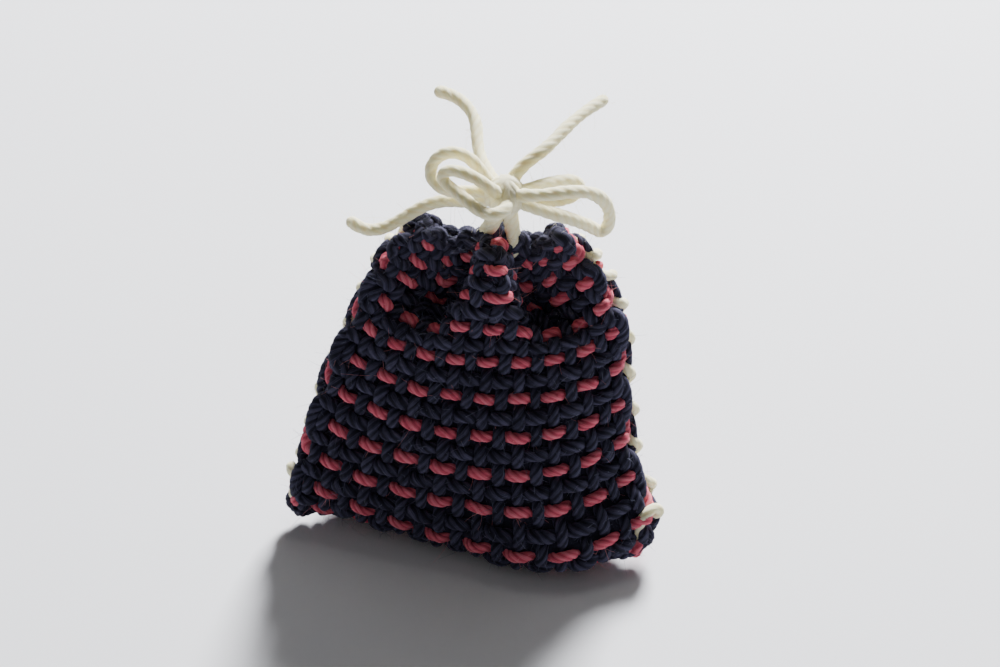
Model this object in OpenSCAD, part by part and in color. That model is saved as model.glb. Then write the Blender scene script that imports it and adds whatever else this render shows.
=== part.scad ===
// A small drawstring pouch woven in wool: one strip of cloth folded in two, laced up its two
// sides, and gathered at the mouth by a doubled cord that is tied in a bow in front.
// Millimetres, +Z up, front towards -Y. The origin is on the table, under the middle of the cloth.

/* [Bag] */
// Width of the folded edge, from corner to corner, at the middle of the cloth
bag_w = 70; // [56:0.5:84]
// Depth of the full bag at its middle, at the middle of the cloth
bag_d = 42; // [34:0.5:50]
// Height of the gathered mouth's front edge
bag_h = 64.5; // [54:0.5:78]
// Thickness of the woven cloth
cloth_t = 4; // [3:0.1:5]
// How deep the cloth is laced in at its two sides, past its own thickness
seam_tuck = 1.5; // [0.5:0.1:3]

/* [Mouth] */
// How far the front pleats are drawn back, as a share of the way to the middle of the neck
pleat_draw = 0.75; // [0.5:0.01:0.8]
// How far the back pleats are drawn forward, as a share of the way to the middle of the neck
back_draw = 0.22; // [0.1:0.01:0.4]
// How far all pleats are gathered sideways, as a share of the way to the middle of the neck
pleat_gather = 0.42; // [0.3:0.01:0.5]
// How far the front pleats sink below the folds between them
pleat_drop = 10; // [5:0.5:12]
// How far the back pleats sink below the folds between them
back_drop = 5; // [2:0.5:8]
// Radius of the drawstring's turn round the neck
neck_r = 4.7; // [4.4:0.1:5.6]

/* [Cords] */
// Diameter of the drawstring's two strands, and of the bow's loops and ends
cord_d = 2.4; // [1.8:0.1:3]
// Radius of the bow's knot
knot_r = 3.8; // [3.2:0.1:4.4]
// Diameter of the yarn that laces the sides
lace_d = 2; // [1.5:0.1:2.6]
// Distance between two stitches of the lacing, along the cloth
lace_pitch = 7.2; // [6:0.2:10]

/* [Hidden] */

NAVY = [0.09, 0.10, 0.17];
CREAM = [0.90, 0.87, 0.78];

FRONT = -1;
BACK = 1;
// Grid of a cloth panel: cells across and cells from the fold to the mouth
CELLS_ACROSS = 24;
CELLS_UP = 18;
CORD_SIDES = 8;
EPS = 0.001;

// Stations along the cloth, counted in millimetres of cloth from the fold, and the outline at each
// of them, for a bag 70 wide, 42 deep and 64.5 high. The outline is four guide lines of [x, y, z].
CLOTH = [0, 6, 11, 18, 32, 47, 54, 61, 72, 82];
OUTLINE_SIZE = [70, 42, 64.5];
FRONT_GUIDE = [[0, -12.5, 2], [0, -18.5, 2.9], [0, -20.5, 5.8], [0, -17.6, 12.6], [0, -11.4, 24.8],
    [0.5, -3.7, 37.4], [1.2, -1.4, 43.8], [1.8, -0.2, 50.2], [2, 2, 58.6], [2, 5.6, 64.5]];
BACK_GUIDE = [[0, -12.5, 2], [0, -6, 2], [0, -1, 2], [0, 6, 2], [0, 17, 8],
    [0.5, 20.7, 22.5], [1.2, 20.7, 29.4], [1.8, 20, 36.5], [2.4, 17.8, 47.5], [2.4, 15.3, 56]];
LEFT_GUIDE = [[-35, -13.7, 3.5], [-34.6, -13, 7.5], [-33.6, -11.7, 11.5], [-32.4, -9.2, 16.8],
    [-28.6, -3.2, 29.2], [-23.4, 3.3, 41.5], [-21, 5.6, 46.6], [-18.6, 7.3, 51], [-14.5, 9.3, 56],
    [-11, 9.8, 58.5]];
RIGHT_GUIDE = [[31.5, -18, 3.4], [34.2, -14.5, 6.4], [34.4, -11.4, 9.4], [30.6, -7, 15],
    [27.8, -1, 28], [26, 4.3, 42], [23.7, 6, 47], [21, 7.3, 51.5], [16.2, 9.3, 56], [13.5, 9.8, 58.5]];
// How far the outline is moved back, so that the origin is under its middle
STAND_BACK = 1.2;
// Half of the arc that a panel makes from side to side, in degrees
PANEL_ARC = [40, 44, 50, 56, 62, 72, 78, 84, 90, 90];
// Shares of the pleats' draw and gather, and of their drop, that each station takes
PLEAT_SHARE = [0, 0, 0, 0, 0, 0, 0.12, 0.92, 1, 0.95];
DROP_SHARE = [0, 0, 0, 0, 0, 0.05, 0.4, 1, 0.9, 0.6];
// Where the fold between the two pleats begins to narrow along the cloth, and where it is narrow
NARROW_FROM = 54;
NARROW_AT = 74;
// How far the right half of the base stands forward, and the share of that by which its left
// half stands back
BASE_SKEW = [3, 5, 4.5, 2.5, 1, 0, 0, 0, 0, 0];
LEFT_SKEW = 0.4;

// How far up the cloth a bottom corner turns under, and the share of the thickness that it does
CORNER_REACH = 8;
CORNER_DROP = 0.7;
// How far the full bag's weight flattens its base, and the height over which that fades out
BASE_FLATTEN = 0.6;
FLATTEN_REACH = 5;

last = len(CLOTH) - 1;
cloth_len = CLOTH[last];
half_t = cloth_t / 2;
fit = [bag_w / OUTLINE_SIZE.x, bag_d / OUTLINE_SIZE.y, bag_h / OUTLINE_SIZE.z];

function unit(p) = p / norm(p);
function scaled(p, k) = [p.x * k.x, p.y * k.y, p.z * k.z];

// A smooth curve through a list of values, one at each station
function slope_at(list, i) =
    let(a = max(i - 1, 0), b = min(i + 1, last))
    (list[b] - list[a]) / (CLOTH[b] - CLOTH[a]);
function station_below(v) = max([for (i = [0 : last - 1]) if (v >= CLOTH[i]) i]);
function along(list, v) =
    let(i = station_below(v), h = CLOTH[i + 1] - CLOTH[i], s = (v - CLOTH[i]) / h)
    (2 * s ^ 3 - 3 * s ^ 2 + 1) * list[i] + (s ^ 3 - 2 * s ^ 2 + s) * h * slope_at(list, i)
    + (3 * s ^ 2 - 2 * s ^ 3) * list[i + 1] + (s ^ 3 - s ^ 2) * h * slope_at(list, i + 1);
function guide(list, v) = scaled(along(list, v), fit) + [0, STAND_BACK, 0];

// The guides moved out by e from the middle of the cloth, or in where e is negative
function middle_guide(side, v) = guide(side == FRONT ? FRONT_GUIDE : BACK_GUIDE, v);
function middle_out(side, v) =
    let(step = guide(side == FRONT ? FRONT_GUIDE : BACK_GUIDE, min(v + 1, cloth_len))
        - guide(side == FRONT ? FRONT_GUIDE : BACK_GUIDE, max(v - 1, 0)))
    v < EPS ? [0, 0, -1] : unit([0, side * step.z, -side * step.y]);
function side_guide(hand, v, e) =
    let(reach = e < 0 ? e - seam_tuck : e, corner = max(0, 1 - v / CORNER_REACH))
    guide(hand < 0 ? LEFT_GUIDE : RIGHT_GUIDE, v) + [hand * reach, 0, -CORNER_DROP * e * corner];
// Middle of the neck, which the pleats are drawn to
function neck_mid(v) = (middle_guide(FRONT, v) + middle_guide(BACK, v)) / 2;

// A pleat's depth from 0 to 1: its sides are steep, and it widens towards the mouth
function eased(x, low, high) =
    let(s = min(max((x - low) / (high - low), 0), 1)) s * s * (3 - 2 * s);
function pleat_profile(t, v) =
    let(narrow = eased(v, NARROW_FROM, NARROW_AT))
    eased(abs(sin(180 * t)), 0.26 - 0.28 * narrow, 0.86 - 0.24 * narrow);

// A height with the base flattened: what lies under the table's level is pressed up to it
function settled(z, floor_z) =
    let(h = z - floor_z) floor_z + max(0, h - BASE_FLATTEN * max(0, 1 - h / FLATTEN_REACH));

// A point of the cloth: t runs from -1 at the left side to 1 at the right, v from the fold up
function cloth_point(side, t, v, e) =
    let(arc = along(PANEL_ARC, v), a = abs(t) * arc,
        mid = middle_guide(side, v) + e * middle_out(side, v),
        edge = side_guide(t < 0 ? -1 : 1, v, e),
        across = sin(a) / sin(arc), deep = (1 - cos(a)) / (1 - cos(arc)),
        skew = along(BASE_SKEW, v) * sin(180 * t) * (t < 0 ? LEFT_SKEW : 1),
        profile = pleat_profile(t, v), pleat = profile * along(PLEAT_SHARE, v),
        drop = profile * (side == FRONT ? pleat_drop : back_drop) * along(DROP_SHARE, v),
        pull_x = 1 - pleat * pleat_gather,
        pull_y = 1 - pleat * (side == FRONT ? pleat_draw : back_draw),
        axis = neck_mid(v), floor_z = e < 0 ? cloth_t : 0)
    [axis.x + (mid.x + (edge.x - mid.x) * across - axis.x) * pull_x,
     axis.y + (mid.y + (edge.y - mid.y) * deep - skew - axis.y) * pull_y,
     settled(mid.z + (edge.z - mid.z) * deep - drop, floor_z)];

// One half of the folded strip, as a closed shell between its outer and its inner face
module panel(side) {
    row = CELLS_ACROSS + 1;
    sheet_n = row * (CELLS_UP + 1);
    grid = [for (e = [half_t, -half_t], j = [0 : CELLS_UP], i = [0 : CELLS_ACROSS])
        cloth_point(side, 2 * i / CELLS_ACROSS - 1, cloth_len * j / CELLS_UP, e)];
    outer = [for (j = [0 : CELLS_UP - 1], i = [0 : CELLS_ACROSS - 1])
        let(a = j * row + i) each [[a, a + row, a + row + 1], [a, a + row + 1, a + 1]]];
    inner = [for (f = outer) [f[0] + sheet_n, f[2] + sheet_n, f[1] + sheet_n]];
    rim = concat(
        [for (i = [0 : CELLS_ACROSS - 1]) [i, i + 1]],
        [for (j = [0 : CELLS_UP - 1]) [j * row + row - 1, j * row + 2 * row - 1]],
        [for (i = [CELLS_ACROSS : -1 : 1]) [CELLS_UP * row + i, CELLS_UP * row + i - 1]],
        [for (j = [CELLS_UP : -1 : 1]) [j * row, (j - 1) * row]]);
    edge = [for (s = rim) each [[s[0], s[1], s[1] + sheet_n], [s[0], s[1] + sheet_n, s[0] + sheet_n]]];
    faces = concat(outer, inner, edge);
    polyhedron(grid, side == FRONT ? faces : [for (f = faces) [f[2], f[1], f[0]]]);
}

// A round yarn swept along its points, with a frame that doesn't twist
function directions(path) = [for (i = [0 : len(path) - 1])
    unit(path[min(i + 1, len(path) - 1)] - path[max(i - 1, 0)])];
function carried(dirs, i, n) = i == len(dirs) ? [] :
    let(m = unit(n - (n * dirs[i]) * dirs[i])) concat([m], carried(dirs, i + 1, m));
module yarn(path, d) {
    dirs = directions(path);
    start = abs(dirs[0].z) < 0.8 ? [0, 0, 1] : [0, 1, 0];
    normals = carried(dirs, 0, start);
    n = len(path);
    points = [for (i = [0 : n - 1], k = [0 : CORD_SIDES - 1])
        let(a = 360 * k / CORD_SIDES)
        path[i] + d / 2 * (cos(a) * normals[i] + sin(a) * cross(dirs[i], normals[i]))];
    walls = [for (i = [0 : n - 2], k = [0 : CORD_SIDES - 1])
        let(a = i * CORD_SIDES + k, b = i * CORD_SIDES + (k + 1) % CORD_SIDES)
        each [[a, b + CORD_SIDES, b], [a, a + CORD_SIDES, b + CORD_SIDES]]];
    ends = [[for (k = [0 : CORD_SIDES - 1]) k],
        [for (k = [CORD_SIDES - 1 : -1 : 0]) (n - 1) * CORD_SIDES + k]];
    polyhedron(points, concat(walls, ends));
}

module front_panel() {
    color(NAVY) panel(FRONT);
}

module back_panel() {
    color(NAVY) panel(BACK);
}

// The lacing runs up the outside of a side, and crosses it from front to back at each stitch
LACE_SWING = 1.6;
LACE_GAP = 0.4;
LACE_END = 15;
function lace_path(hand) =
    [for (v = [lace_pitch / 2 : lace_pitch / 4 : cloth_len - LACE_END])
        side_guide(hand, v, half_t)
        + [hand * (lace_d / 2 + LACE_GAP), LACE_SWING * sin(360 * v / lace_pitch), 0]];

module left_lacing() {
    color(CREAM) yarn(lace_path(-1), lace_d);
}

module right_lacing() {
    color(CREAM) yarn(lace_path(1), lace_d);
}

// The drawstring's two strands turn round the neck, one above the other, through its folds, and
// rise to the knot: the lower one nearer the front, the upper one further round. The turn is
// tilted as the mouth is. A strand's start is the angle from the front where its turn begins.
TURN_AT = 73;
STRAND_GAP = 0.1;
TURN_STEP = 20;
LOWER_START = 36;
UPPER_START = 60;
// Where a strand enters the knot and where it first shows, as shares of the knot's radius
UPPER_TOP = [0.42, -0.15, -0.9];
LOWER_TOP = [0.2, -0.55, -0.85];
STRAND_IN = 0.8;
STRAND_OUT = 1.3;
// The knot's place over the front of the mouth
KNOT_OFF = [2, 0.4, 5];
turn_mid = neck_mid(TURN_AT);
turn_front = middle_guide(FRONT, TURN_AT);
turn_back = middle_guide(BACK, TURN_AT);
turn_tilt = (turn_front.z - turn_back.z) / (turn_back.y - turn_front.y);
knot_at = middle_guide(FRONT, cloth_len) + KNOT_OFF;
function turn_point(a, lift) =
    let(x = neck_r * sin(a), y = -neck_r * cos(a))
    [turn_mid.x + x, turn_mid.y + y, turn_mid.z - turn_tilt * y + lift];
function strand_path(start, lift, knot_side) =
    let(foot = [for (a = [start : TURN_STEP : 360 - start + EPS]) turn_point(a, lift)],
        top = knot_r * knot_side, side = [-top.x, top.y, top.z])
    concat([knot_at + STRAND_IN * top, knot_at + STRAND_OUT * top], foot,
        [knot_at + STRAND_OUT * side, knot_at + STRAND_IN * side]);

module neck_strand_upper() {
    color(CREAM) yarn(strand_path(UPPER_START, (cord_d + STRAND_GAP) / 2, UPPER_TOP), cord_d);
}

module neck_strand_lower() {
    color(CREAM) yarn(strand_path(LOWER_START, -(cord_d + STRAND_GAP) / 2, LOWER_TOP), cord_d);
}

module bow_knot() {
    color(CREAM) translate(knot_at) sphere(r = knot_r, $fn = 48);
}

// Routes of the bow's loops and loose ends, from the middle of the knot
LOOP_LEFT_UPPER = [[-3.5, 1.4, 2.2], [-5.5, 2.2, 5.2], [-8, 3, 6.5], [-10.5, 3.6, 6.2], [-13, 4, 4],
    [-14, 3, 1.4], [-12.5, 1.6, -0.1], [-9.5, 0.8, -0.7], [-7, 0.8, -0.5], [-4.3, 0.9, -0.1]];
LOOP_LEFT_LOWER = [[-2, -3, 3.4], [-4, -2.8, 5.4], [-7.5, -2, 6.4], [-10.4, -1, 5.9], [-11.6, -1, 4],
    [-9.8, -1.8, 2.7], [-7.2, -3.6, 2.2], [-4.6, -6, 1.5], [-1.6, -7, 1], [0.9, -4.8, 1]];
LOOP_RIGHT_UPPER = [[4.2, 1.2, 0.9], [7, 3.2, 0.6], [9.4, 5.2, -0.2], [12, 7, -1.2], [13.2, 7.6, -3.4],
    [12.2, 6.8, -5], [10, 5.4, -4.8], [7, 3.4, -3.8], [3.4, 1.7, -2.3]];
LOOP_RIGHT_LOWER = [[3.5, -1.9, 1.9], [7.4, -2, 2.4], [11.5, -0.4, 2.2], [15.2, 1.6, 0.6], [17.6, 3.6, -2.8],
    [18.6, 5.2, -6.8], [18.6, 6.2, -10.6], [17.4, 6.4, -13.2], [15.8, 5.4, -11], [13.6, 3, -7.8],
    [10.6, 0.8, -4.8], [7.4, -0.8, -2.5], [4.4, -1.2, -1.1]];
END_LEFT_BACK = [[-2.4, 3.6, 0.2], [-4.2, 6.8, 0.2], [-5.6, 10, 0.7], [-6.4, 13.4, 1.5], [-7, 17.4, 2.2],
    [-9, 21, 2.9], [-12, 23.8, 3], [-15.6, 25.6, 2.4]];
END_LEFT_SIDE = [[-3, 1.8, -2.8], [-6.6, 2.8, -4.6], [-11, 3.8, -5.4], [-15, 3.8, -7], [-18.6, 3, -9.4],
    [-22, 2, -11.4], [-25.6, 1.2, -11.8], [-29, 1.4, -9.4]];
END_RIGHT_BACK = [[1.6, 3.4, 2.4], [3.8, 5, 4.2], [6.4, 7.4, 5], [8.6, 11.4, 5.2], [10.8, 15.6, 5.2],
    [13.4, 20, 4.8], [16.4, 24.6, 4]];
END_BACK = [[-0.4, 3.6, -2.6], [-0.6, 7.4, -4], [-1, 11.4, -6.4], [-1.6, 15, -9.6], [-2.4, 17.8, -13.6],
    [-3.2, 19.4, -18], [-4, 20.2, -22.6], [-4.6, 20.6, -27.2]];

module bow_yarn(route) {
    color(CREAM) yarn([for (p = route) knot_at + p], cord_d);
}

module loop_left_upper() {
    bow_yarn(LOOP_LEFT_UPPER);
}

module loop_left_lower() {
    bow_yarn(LOOP_LEFT_LOWER);
}

module loop_right_upper() {
    bow_yarn(LOOP_RIGHT_UPPER);
}

module loop_right_lower() {
    bow_yarn(LOOP_RIGHT_LOWER);
}

module end_left_back() {
    bow_yarn(END_LEFT_BACK);
}

module end_left_side() {
    bow_yarn(END_LEFT_SIDE);
}

module end_right_back() {
    bow_yarn(END_RIGHT_BACK);
}

module end_back() {
    bow_yarn(END_BACK);
}

front_panel();
back_panel();
left_lacing();
right_lacing();
neck_strand_upper();
neck_strand_lower();
bow_knot();
loop_left_upper();
loop_left_lower();
loop_right_upper();
loop_right_lower();
end_left_back();
end_left_side();
end_right_back();
end_back();
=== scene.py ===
# %% [markdown]
# # A small drawstring pouch, woven in wool
# The pouch is one strip of plain weave, folded in two, laced up its sides and gathered by a cord
# that is tied in a bow. At this size a viewer sees every yarn, so the yarns are what is modelled:
# each is a swept tube with real plies, laid over and under the others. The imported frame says
# where everything is, and nothing here moves it.

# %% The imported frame
import math

import bpy
import numpy as np
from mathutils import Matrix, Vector


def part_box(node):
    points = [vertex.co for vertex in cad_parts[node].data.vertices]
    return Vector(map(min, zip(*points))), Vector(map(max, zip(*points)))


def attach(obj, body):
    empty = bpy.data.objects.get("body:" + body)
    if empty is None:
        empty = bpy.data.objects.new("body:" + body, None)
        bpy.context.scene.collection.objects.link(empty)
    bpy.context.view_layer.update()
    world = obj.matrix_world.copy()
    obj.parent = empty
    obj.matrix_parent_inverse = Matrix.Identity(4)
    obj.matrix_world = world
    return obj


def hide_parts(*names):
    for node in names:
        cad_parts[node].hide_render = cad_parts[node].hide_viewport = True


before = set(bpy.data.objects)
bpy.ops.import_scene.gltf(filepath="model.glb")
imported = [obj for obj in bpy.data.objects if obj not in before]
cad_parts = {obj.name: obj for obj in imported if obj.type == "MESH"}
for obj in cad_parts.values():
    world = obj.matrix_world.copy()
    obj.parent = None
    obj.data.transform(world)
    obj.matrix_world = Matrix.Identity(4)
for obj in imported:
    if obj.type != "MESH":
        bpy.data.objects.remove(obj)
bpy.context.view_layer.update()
MM = 0.001

# %% [markdown]
# ## The camera
# The camera comes first, because the free cords are judged by what it sees. It stands in front of
# the pouch, a little to the right of its middle, and looks down at 45 degrees. A long lens keeps
# the sides almost parallel, and a small shift sets the pouch in the view without turning it.

# %% Camera
LOOK_AT = Vector((0, 1.2, 30)) * MM
CAMERA_AZIMUTH = math.radians(6)
CAMERA_ELEVATION = math.radians(45)
CAMERA_DISTANCE = 430 * MM
LENS = 82
SHIFT_X = 0.021
SHIFT_Y = 0.0405

toward_camera = Vector((
    math.sin(CAMERA_AZIMUTH) * math.cos(CAMERA_ELEVATION),
    -math.cos(CAMERA_AZIMUTH) * math.cos(CAMERA_ELEVATION),
    math.sin(CAMERA_ELEVATION)))
camera = bpy.data.objects.new("camera", bpy.data.cameras.new("camera"))
bpy.context.scene.collection.objects.link(camera)
camera.location = LOOK_AT + toward_camera * CAMERA_DISTANCE
camera.rotation_mode = "QUATERNION"
camera.rotation_quaternion = (-toward_camera).to_track_quat("-Z", "Y")
camera.data.lens = LENS
camera.data.shift_x = SHIFT_X
camera.data.shift_y = SHIFT_Y
camera.data.clip_start = 10 * MM
bpy.context.scene.camera = camera
print("camera at", [round(x, 3) for x in camera.location])

# %% [markdown]
# ## Yarn
# Wool for knitting and weaving is spun in plies that are twisted round each other. A smooth tube
# looks like plastic, so the section here is a clover leaf, one lobe a ply, and it turns as it goes
# along the yarn. The lobes are real geometry: they catch light and cast shadow where a bump map
# would only tint the surface. The mesh's edges follow the grooves, so few sides are enough.

# %% A path with evenly spaced points
rng = np.random.default_rng(7)


def lengths_along(path):
    steps = np.linalg.norm(np.diff(path, axis=0), axis=1)
    return np.concatenate([[0], np.cumsum(steps)])


def evenly(path, spacing, *extras):
    """The path with points that are spacing apart, and any values that go with its points."""
    run = lengths_along(path)
    wanted = np.linspace(0, run[-1], max(4, int(round(run[-1] / spacing)) + 1))
    columns = [np.interp(wanted, run, path[:, k]) for k in range(3)]
    return (np.stack(columns, axis=1), *[np.interp(wanted, run, x) for x in extras])


def smooth_route(points, spacing):
    """A smooth curve through given points (a Catmull-Rom spline), evenly spaced."""
    points = np.asarray(points, float)
    padded = np.vstack([2 * points[0] - points[1], points, 2 * points[-1] - points[-2]])
    u = np.linspace(0, 1, 24, endpoint=False)[:, None]
    spans = []
    for a, b, c, d in zip(padded, padded[1:], padded[2:], padded[3:]):
        spans.append(0.5 * (2 * b + (c - a) * u + (2 * a - 5 * b + 4 * c - d) * u ** 2
                            + (3 * b - a - 3 * c + d) * u ** 3))
    return evenly(np.vstack([*spans, points[-1:]]), spacing)[0]


def relaxed(path, passes):
    """The path with its sharpest bends eased, and its two ends where they were."""
    path = path.copy()
    for _ in range(passes):
        path[1:-1] = (path[:-2] + 2 * path[1:-1] + path[2:]) / 4
    return path


def wander(count, per_point, size):
    """Seeded smooth noise: one value at each of count points, new every 1 / per_point points."""
    knots = max(4, int(count * per_point))
    return np.interp(np.linspace(0, knots - 1, count), np.arange(knots), rng.normal(0, size, knots))


# %% Frames and the plied tube
PLIES = 4
SIDES = 16
PLY_PITCH = 6.4 * MM
GROOVE = 0.16
# The cream yarn is twisted less, so its plies take longer to turn and its grooves are shallow
SOFT_PITCH = 8.5 * MM
SOFT_GROOVE = 0.1
# Below 1, the plies are rounder and the grooves between them narrower
LOBE_POWER = 0.8
# An end is drawn in over this many radii, to a tip with this share of the section's area
TIP_RADII = 1.2
TIP_AREA = 0.04


def unit(rows):
    return rows / np.maximum(np.linalg.norm(rows, axis=1, keepdims=True), 1e-12)


def tangents(path):
    return unit(np.gradient(path, axis=0))


def carried_normals(path):
    """Normals that are carried along the path without turning round it."""
    ahead = tangents(path)
    start = np.array([0, 0, 1.0]) if abs(ahead[0][2]) < 0.8 else np.array([0, 1.0, 0])
    normals = []
    for direction in ahead:
        start = start - direction * start.dot(direction)
        start /= np.linalg.norm(start)
        normals.append(start)
    return np.array(normals)


def plied_tube(path, radius, normals=None, flatten=1.0, groove=SOFT_GROOVE, pitch=SOFT_PITCH):
    """Points, faces and yarn coordinates of one yarn. radius is a number or one for each point,
    and flatten is the section's height over its width."""
    count = len(path)
    ahead = tangents(path)
    normals = carried_normals(path) if normals is None else normals
    normals = unit(normals - ahead * np.sum(normals * ahead, axis=1, keepdims=True))
    sideways = np.cross(ahead, normals)
    run = lengths_along(path)
    radius = np.broadcast_to(np.asarray(radius, float), count).copy()
    # The ends are drawn in to a blunt tip
    tip = np.minimum(run, run[-1] - run) / (radius.mean() * TIP_RADII)
    radius *= np.sqrt(np.clip(1 - (1 - np.clip(tip, 0, 1)) ** 2, TIP_AREA, 1))
    corner = 2 * np.pi * np.arange(SIDES) / SIDES
    lobe = 1 - groove * (1 - np.abs(np.cos(PLIES / 2 * corner)) ** LOBE_POWER)
    twist = 2 * np.pi * run / pitch
    angle = twist[:, None] + corner[None, :]
    reach = radius[:, None] * lobe[None, :]
    points = (path[:, None, :]
              + (reach * np.cos(angle) * flatten)[..., None] * normals[:, None, :]
              + (reach * np.sin(angle))[..., None] * sideways[:, None, :])
    # Fibres lie along the plies: the texture's place is held in the section, and slow along it
    place = np.stack([np.broadcast_to(np.cos(corner), angle.shape),
                      np.broadcast_to(np.sin(corner), angle.shape),
                      np.broadcast_to(run[:, None] / pitch, angle.shape)], axis=-1)
    ring = np.arange(count - 1)[:, None] * SIDES
    here, there = np.arange(SIDES), (np.arange(SIDES) + 1) % SIDES
    walls = np.stack([ring + here, ring + there, ring + there + SIDES, ring + here + SIDES], axis=-1)
    caps = [list(range(SIDES))[::-1], [(count - 1) * SIDES + k for k in range(SIDES)]]
    depth = np.broadcast_to((lobe - lobe.min()) / (lobe.max() - lobe.min()), angle.shape)
    return points.reshape(-1, 3), walls.reshape(-1, 4), caps, place.reshape(-1, 3), depth.ravel()


# %% Building one object from several yarns
# Each yarn takes its fibres from a place of its own in the pattern, within this range
PATTERN_RANGE = 40


def yarn_object(name, tubes):
    """One mesh of several tubes. Each vertex keeps its place in its yarn, for the wool's fibres,
    and its depth: 0 in the groove between two plies and 1 on top of a ply."""
    points, faces, places, depths, start = [], [], [], [], 0
    for points_of, walls, caps, place, depth in tubes:
        points.append(points_of)
        faces += (walls + start).tolist() + [[k + start for k in cap] for cap in caps]
        places.append(place + rng.uniform(0, PATTERN_RANGE, 3))
        depths.append(depth)
        start += len(points_of)
    mesh = bpy.data.meshes.new(name)
    mesh.from_pydata(np.vstack(points).tolist(), [], faces)
    mesh.polygons.foreach_set("use_smooth", np.ones(len(mesh.polygons), bool))
    place = mesh.attributes.new("yarn_place", "FLOAT_VECTOR", "POINT")
    place.data.foreach_set("vector", np.vstack(places).astype(np.float32).ravel())
    depth = mesh.attributes.new("ply_depth", "FLOAT", "POINT")
    depth.data.foreach_set("value", np.concatenate(depths).astype(np.float32))
    made = bpy.data.objects.new(name, mesh)
    bpy.context.scene.collection.objects.link(made)
    print(f"{name}: {len(mesh.polygons)} faces")
    return made


# %% [markdown]
# ## The bow
# The drawstring is one doubled yarn, so the bow has two loops on each side and four loose ends.
# Each is a free cord: it leaves the knot, goes its way and ends in the knot again or is cut off.
# The routes repeat the points of the design, from the middle of the knot. A smooth curve goes
# through them, and then its bends are eased a little, so it cuts the sharpest corners slightly.
# Each cord starts a little inside the knot, so no cut end shows there.

# %% Where the knot is, and the routes
knot_low, knot_high = (np.array(corner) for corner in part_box("bow_knot"))
knot_middle = (knot_low + knot_high) / 2
knot_radius = (knot_high - knot_low)[0] / 2
CORD_DIAMETER = 2.4 * MM
CORD_STEP = 0.35 * MM
print("knot at", (knot_middle / MM).round(1), "mm, radius", round(knot_radius / MM, 2))

LOOP_LEFT_UPPER = [[-3.5, 1.4, 2.2], [-5.5, 2.2, 5.2], [-8, 3, 6.5], [-10.5, 3.6, 6.2], [-13, 4, 4],
    [-14, 3, 1.4], [-12.5, 1.6, -0.1], [-9.5, 0.8, -0.7], [-7, 0.8, -0.5], [-4.3, 0.9, -0.1]]
LOOP_LEFT_LOWER = [[-2, -3, 3.4], [-4, -2.8, 5.4], [-7.5, -2, 6.4], [-10.4, -1, 5.9], [-11.6, -1, 4],
    [-9.8, -1.8, 2.7], [-7.2, -3.6, 2.2], [-4.6, -6, 1.5], [-1.6, -7, 1], [0.9, -4.8, 1]]
LOOP_RIGHT_UPPER = [[4.2, 1.2, 0.9], [7, 3.2, 0.6], [9.4, 5.2, -0.2], [12, 7, -1.2], [13.2, 7.6, -3.4],
    [12.2, 6.8, -5], [10, 5.4, -4.8], [7, 3.4, -3.8], [3.4, 1.7, -2.3]]
LOOP_RIGHT_LOWER = [[3.5, -1.9, 1.9], [7.4, -2, 2.4], [11.5, -0.4, 2.2], [15.2, 1.6, 0.6],
    [17.6, 3.6, -2.8], [18.6, 5.2, -6.8], [18.6, 6.2, -10.6], [17.4, 6.4, -13.2], [15.8, 5.4, -11],
    [13.6, 3, -7.8], [10.6, 0.8, -4.8], [7.4, -0.8, -2.5], [4.4, -1.2, -1.1]]
END_LEFT_BACK = [[-2.4, 3.6, 0.2], [-4.2, 6.8, 0.2], [-5.6, 10, 0.7], [-6.4, 13.4, 1.5],
    [-7, 17.4, 2.2], [-9, 21, 2.9], [-12, 23.8, 3], [-15.6, 25.6, 2.4]]
END_LEFT_SIDE = [[-3, 1.8, -2.8], [-6.6, 2.8, -4.6], [-11, 3.8, -5.4], [-15, 3.8, -7],
    [-18.6, 3, -9.4], [-22, 2, -11.4], [-25.6, 1.2, -11.8], [-29, 1.4, -9.4]]
END_RIGHT_BACK = [[1.6, 3.4, 2.4], [3.8, 5, 4.2], [6.4, 7.4, 5], [8.6, 11.4, 5.2],
    [10.8, 15.6, 5.2], [13.4, 20, 4.8], [16.4, 24.6, 4]]
END_BACK = [[-0.4, 3.6, -2.6], [-0.6, 7.4, -4], [-1, 11.4, -6.4], [-1.6, 15, -9.6],
    [-2.4, 17.8, -13.6], [-3.2, 19.4, -18], [-4, 20.2, -22.6], [-4.6, 20.6, -27.2]]

# Each cord: its route, its body, its real length in mm, and what is at its far end
CORDS = {
    "loop_left_upper": (LOOP_LEFT_UPPER, "left_loops", 33, "knot"),
    "loop_left_lower": (LOOP_LEFT_LOWER, "left_loops", 35, "knot"),
    "loop_right_upper": (LOOP_RIGHT_UPPER, "right_loops", 31, "knot"),
    "loop_right_lower": (LOOP_RIGHT_LOWER, "right_loops", 54, "knot"),
    "end_left_back": (END_LEFT_BACK, "left_back_end", 31, "bare"),
    "end_left_side": (END_LEFT_SIDE, "left_side_end", 33, "bare"),
    "end_right_back": (END_RIGHT_BACK, "right_back_end", 31, "bare"),
    "end_back": (END_BACK, "back_end", 36, "bare"),
}
# A cord starts inside the knot, at this share of the way to its first point
INTO_KNOT = 0.25
EASE_PASSES = 36
# How unevenly a yarn runs: how often it changes, for each of its points, and by how much
CORD_UNEVEN = (0.12, 0.05)


def cord_points(route, returns):
    """The route in metres in the frame, with its start, and the end of a loop, inside the knot."""
    points = np.array(route, float) * MM
    points = np.vstack([points[0] * INTO_KNOT, points])
    if returns:
        points = np.vstack([points, points[-1] * INTO_KNOT])
    return knot_middle + points


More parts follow.
